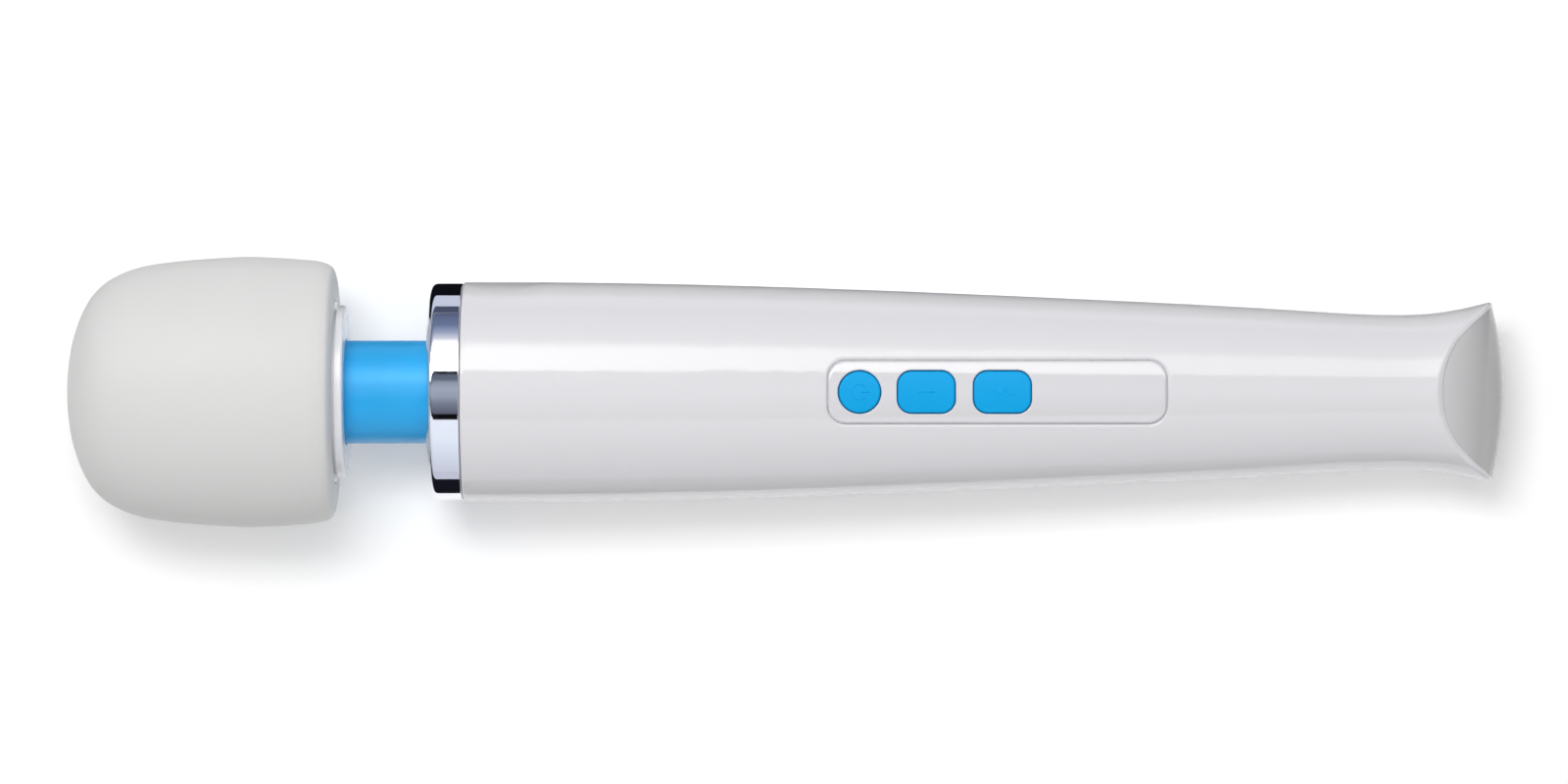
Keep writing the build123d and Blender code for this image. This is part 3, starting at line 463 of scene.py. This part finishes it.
def raised_mark(name, key, body, strokes):
    """Low ridges on a key's top. Each stroke is a line of (x, y) in mm from the key's middle."""
    profile = ((-1.0, -MARK_SUNK), (-0.6, MARK_RISE), (0.6, MARK_RISE), (1.0, -MARK_SUNK))
    low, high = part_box(key)
    cx, cy = (low.x + high.x) / 2, (low.y + high.y) / 2
    key_mesh = nodes[key].data
    place = nodes[key].matrix_world
    corners = [place @ v.co for v in key_mesh.vertices]
    skin = BVHTree.FromPolygons(corners, [tuple(p.vertices) for p in key_mesh.polygons])
    bm = bmesh.new()
    for stroke in strokes:
        rows = []
        last = len(stroke) - 1
        for i, (px, py) in enumerate(stroke):
            ax, ay = stroke[max(0, i - 1)]
            bx, by = stroke[min(last, i + 1)]
            run = math.hypot(bx - ax, by - ay)
            nx, ny = -(by - ay) / run, (bx - ax) / run
            row = []
            for side, lift in profile:
                x = cx + px * MM + nx * side * MARK_HALF
                y = cy + py * MM + ny * side * MARK_HALF
                hit = skin.ray_cast(Vector((x, y, high.z + MARK_DROP)), Vector((0, 0, -1)))[0]
                row.append(bm.verts.new((x, y, (hit.z if hit else high.z) + lift)))
            rows.append(row)
        for one, two in zip(rows, rows[1:]):
            for k in range(3):
                bm.faces.new((one[k], two[k], two[k + 1], one[k + 1]))
        bm.faces.new(rows[0])
        bm.faces.new(rows[-1][::-1])
    bmesh.ops.recalc_face_normals(bm, faces=bm.faces)
    mark = mesh_object(name, bm)
    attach(mark, body)
    paint(mark, looks["key_blue"])


broken_ring = [arc(0, 0, 1.7, 50, 310), [(0.5, 0), (1.3, 0), (2.1, 0)]]
raised_mark("power_mark", "power_key", "power_button", broken_ring)
raised_mark("level_mark", "level_key", "level_button", [[(-1.8, 0), (-0.6, 0), (0.6, 0), (1.8, 0)]])
wave = [
    (-WAVE_HALF + 2 * WAVE_HALF * k / WAVE_STEPS, WAVE_RISE * math.sin(4 * math.pi * k / WAVE_STEPS))
    for k in range(WAVE_STEPS + 1)
]
raised_mark("mode_mark", "mode_key", "mode_button", [wave])

# ---------------------------------------------------------------- floor
head_x = tip + HEAD_WIDEST * MM
FLOOR_TILT = 1.98
FLOOR_GAP = 0.0001
FLOOR_HALF = 3
bm = bmesh.new()
bmesh.ops.create_grid(bm, x_segments=1, y_segments=1, size=FLOOR_HALF)
floor = mesh_object("floor", bm)
slope = math.radians(FLOOR_TILT)
floor.rotation_euler = (0, -slope, 0)
floor.location = (head_x + head_r * math.sin(slope), 0, -head_r * math.cos(slope) - FLOOR_GAP)
paper = bpy.data.materials.new("paper_white")
paper.use_nodes = True
paper_shader = paper.node_tree.nodes["Principled BSDF"]
paper_shader.inputs["Base Color"].default_value = (0.95, 0.95, 0.95, 1)
paper_shader.inputs["Roughness"].default_value = 0.9
paper_shader.inputs["Specular IOR Level"].default_value = 0
paper_shader.inputs["Emission Color"].default_value = (1, 1, 1, 1)
paper_shader.inputs["Emission Strength"].default_value = 0.16
paint(floor, paper)


# ---------------------------------------------------------------- light
def softbox(name, place, size_x, size_y, power):
    """A large soft light aimed at the middle of the wand, kept out of reflections."""
    light = bpy.data.lights.new(name, "AREA")
    light.shape = "RECTANGLE"
    light.size = size_x
    light.size_y = size_y
    light.energy = power
    obj = bpy.data.objects.new(name, light)
    obj.location = place
    back = Vector(place).normalized()
    side = Vector((0, 1, 0)).cross(back).normalized()
    obj.rotation_euler = Matrix((side, back.cross(side), back)).transposed().to_euler()
    obj.visible_camera = False
    obj.visible_glossy = False
    scene.collection.objects.link(obj)


softbox("key_light", (-0.28, 0.47, 1.55), 0.6, 0.42, 8.6)
softbox("overhead_light", (-0.1, 0.25, 2.1), 1.6, 1.2, 14.5)

CARD_R = 0.8
CARD_HALF = 2.5
CARD_LIFT = 0.0004
CARD_COLUMNS = 50
CARD_ROWS = 6
RAMP_START = -0.2
RAMP_LENGTH = 0.4
END_CORNERS = 24


def glow_material():
    mat = bpy.data.materials.new("card_glow")
    mat.use_nodes = True
    tree = mat.node_tree
    tree.nodes.clear()
    level = tree.nodes.new("ShaderNodeAttribute")
    level.attribute_name = "glow"
    emit = tree.nodes.new("ShaderNodeEmission")
    out = tree.nodes.new("ShaderNodeOutputMaterial")
    tree.links.new(level.outputs["Color"], emit.inputs["Color"])
    tree.links.new(emit.outputs["Emission"], out.inputs["Surface"])
    return mat


glow = glow_material()


def reflected_only(obj):
    """Makes a card glow and keeps it out of everything but reflections."""
    paint(obj, glow)
    obj.visible_camera = False
    obj.visible_diffuse = False
    obj.visible_shadow = False
    obj.visible_transmission = False


def card(name, stops, ends=(1.0, 1.0)):
    """A curved card along the object, seen only in reflections. Each stop is (degrees from straight up
    towards +Y, red, green, blue); ends scale the light at the card's -X and +X ends."""
    bm = bmesh.new()
    layer = bm.verts.layers.float_color.new("glow")
    rows = []
    for i, ((a0, *c0), (a1, *c1)) in enumerate(zip(stops, stops[1:])):
        count = CARD_ROWS + 1 if i == len(stops) - 2 else CARD_ROWS
        for k in range(count):
            t = k / CARD_ROWS
            angle = math.radians(a0 + (a1 - a0) * t)
            color = [p + (q - p) * t for p, q in zip(c0, c1)]
            row = []
            for j in range(CARD_COLUMNS + 1):
                x = -CARD_HALF + 2 * CARD_HALF * j / CARD_COLUMNS
                share = min(1, max(0, (x - RAMP_START) / RAMP_LENGTH))
                gain = ends[0] + (ends[1] - ends[0]) * share
                v = bm.verts.new((x, CARD_R * math.sin(angle), CARD_R * math.cos(angle)))
                v[layer] = (*[c * gain for c in color], 1)
                row.append(v)
            rows.append(row)
    for one, two in zip(rows, rows[1:]):
        for j in range(CARD_COLUMNS):
            bm.faces.new((one[j], one[j + 1], two[j + 1], two[j]))
    reflected_only(mesh_object(name, bm))


card("softbox_card", [
    (22, 6, 6, 6), (23, 6.5, 6.5, 6.5), (46, 6.5, 6.5, 6.5), (54, 1.4, 1.4, 1.45), (57.5, 0.90, 0.91, 0.99),
    (59.4, 0.66, 0.68, 0.78)], ends=(1, 0.45))
card("overhead_card", [
    (-23, 0.11, 0.125, 0.17), (-12, 0.21, 0.23, 0.30), (-4, 0.36, 0.40, 0.49), (4, 0.39, 0.43, 0.52),
    (10, 0.30, 0.34, 0.42), (13, 0.13, 0.155, 0.21), (18, 0.12, 0.14, 0.19), (19, 0.02, 0.02, 0.03),
    (22, 0.02, 0.02, 0.03)])
card("black_card", [(-29, 0.004, 0.004, 0.005), (-23, 0.004, 0.004, 0.005)])
card("far_card", [
    (59.4, 0.66, 0.68, 0.78), (65, 0.37, 0.42, 0.56), (75, 0.155, 0.20, 0.34), (85, 0.136, 0.164, 0.28),
    (92, 0.09, 0.11, 0.19)])
card("near_card", [
    (-92, 0.66, 0.68, 0.78), (-75, 0.72, 0.77, 0.87), (-50, 0.88, 0.93, 1.02), (-29, 0.93, 0.96, 1.06)])


def end_card(name, x, color):
    """An upright card across one end of the reflected studio."""
    bm = bmesh.new()
    layer = bm.verts.layers.float_color.new("glow")
    turn = [2 * math.pi * k / END_CORNERS for k in range(END_CORNERS)]
    around = [bm.verts.new((x, CARD_R * math.sin(a), CARD_R * math.cos(a))) for a in turn]
    for v in around:
        v[layer] = (*color, 1)
    bm.faces.new(around)
    reflected_only(mesh_object(name, bm))


end_card("head_end_card", -CARD_HALF, (0.04, 0.045, 0.06))
end_card("tail_end_card", CARD_HALF, (0.06, 0.065, 0.08))


def floor_card(name, y0, y1, color):
    """A card lying on the floor beside the object, seen only in reflections."""
    bm = bmesh.new()
    layer = bm.verts.layers.float_color.new("glow")
    spots = ((-CARD_HALF, y0, 0), (CARD_HALF, y0, 0), (CARD_HALF, y1, 0), (-CARD_HALF, y1, 0))
    corners = [bm.verts.new(p) for p in spots]
    for v in corners:
        v[layer] = (*color, 1)
    bm.faces.new(corners)
    obj = mesh_object(name, bm)
    obj.rotation_euler = floor.rotation_euler
    obj.location = floor.location + Vector((0, 0, CARD_LIFT))
    reflected_only(obj)


floor_card("far_black_strip", 0.025, 0.080, (0.005, 0.005, 0.008))
floor_card("far_pale_strip", 0.080, 0.20, (0.63, 0.66, 0.79))
floor_card("far_dark_strip", 0.20, 0.80, (0.075, 0.09, 0.15))
floor_card("near_black_strip", -0.170, -0.058, (0.008, 0.008, 0.014))
floor_card("near_grey_strip", -0.80, -0.170, (0.60, 0.62, 0.72))

world = bpy.data.worlds.new("world")
scene.world = world
world.use_nodes = True
world.node_tree.nodes["Background"].inputs["Color"].default_value = (1, 1, 1, 1)
world.node_tree.nodes["Background"].inputs["Strength"].default_value = 0.35
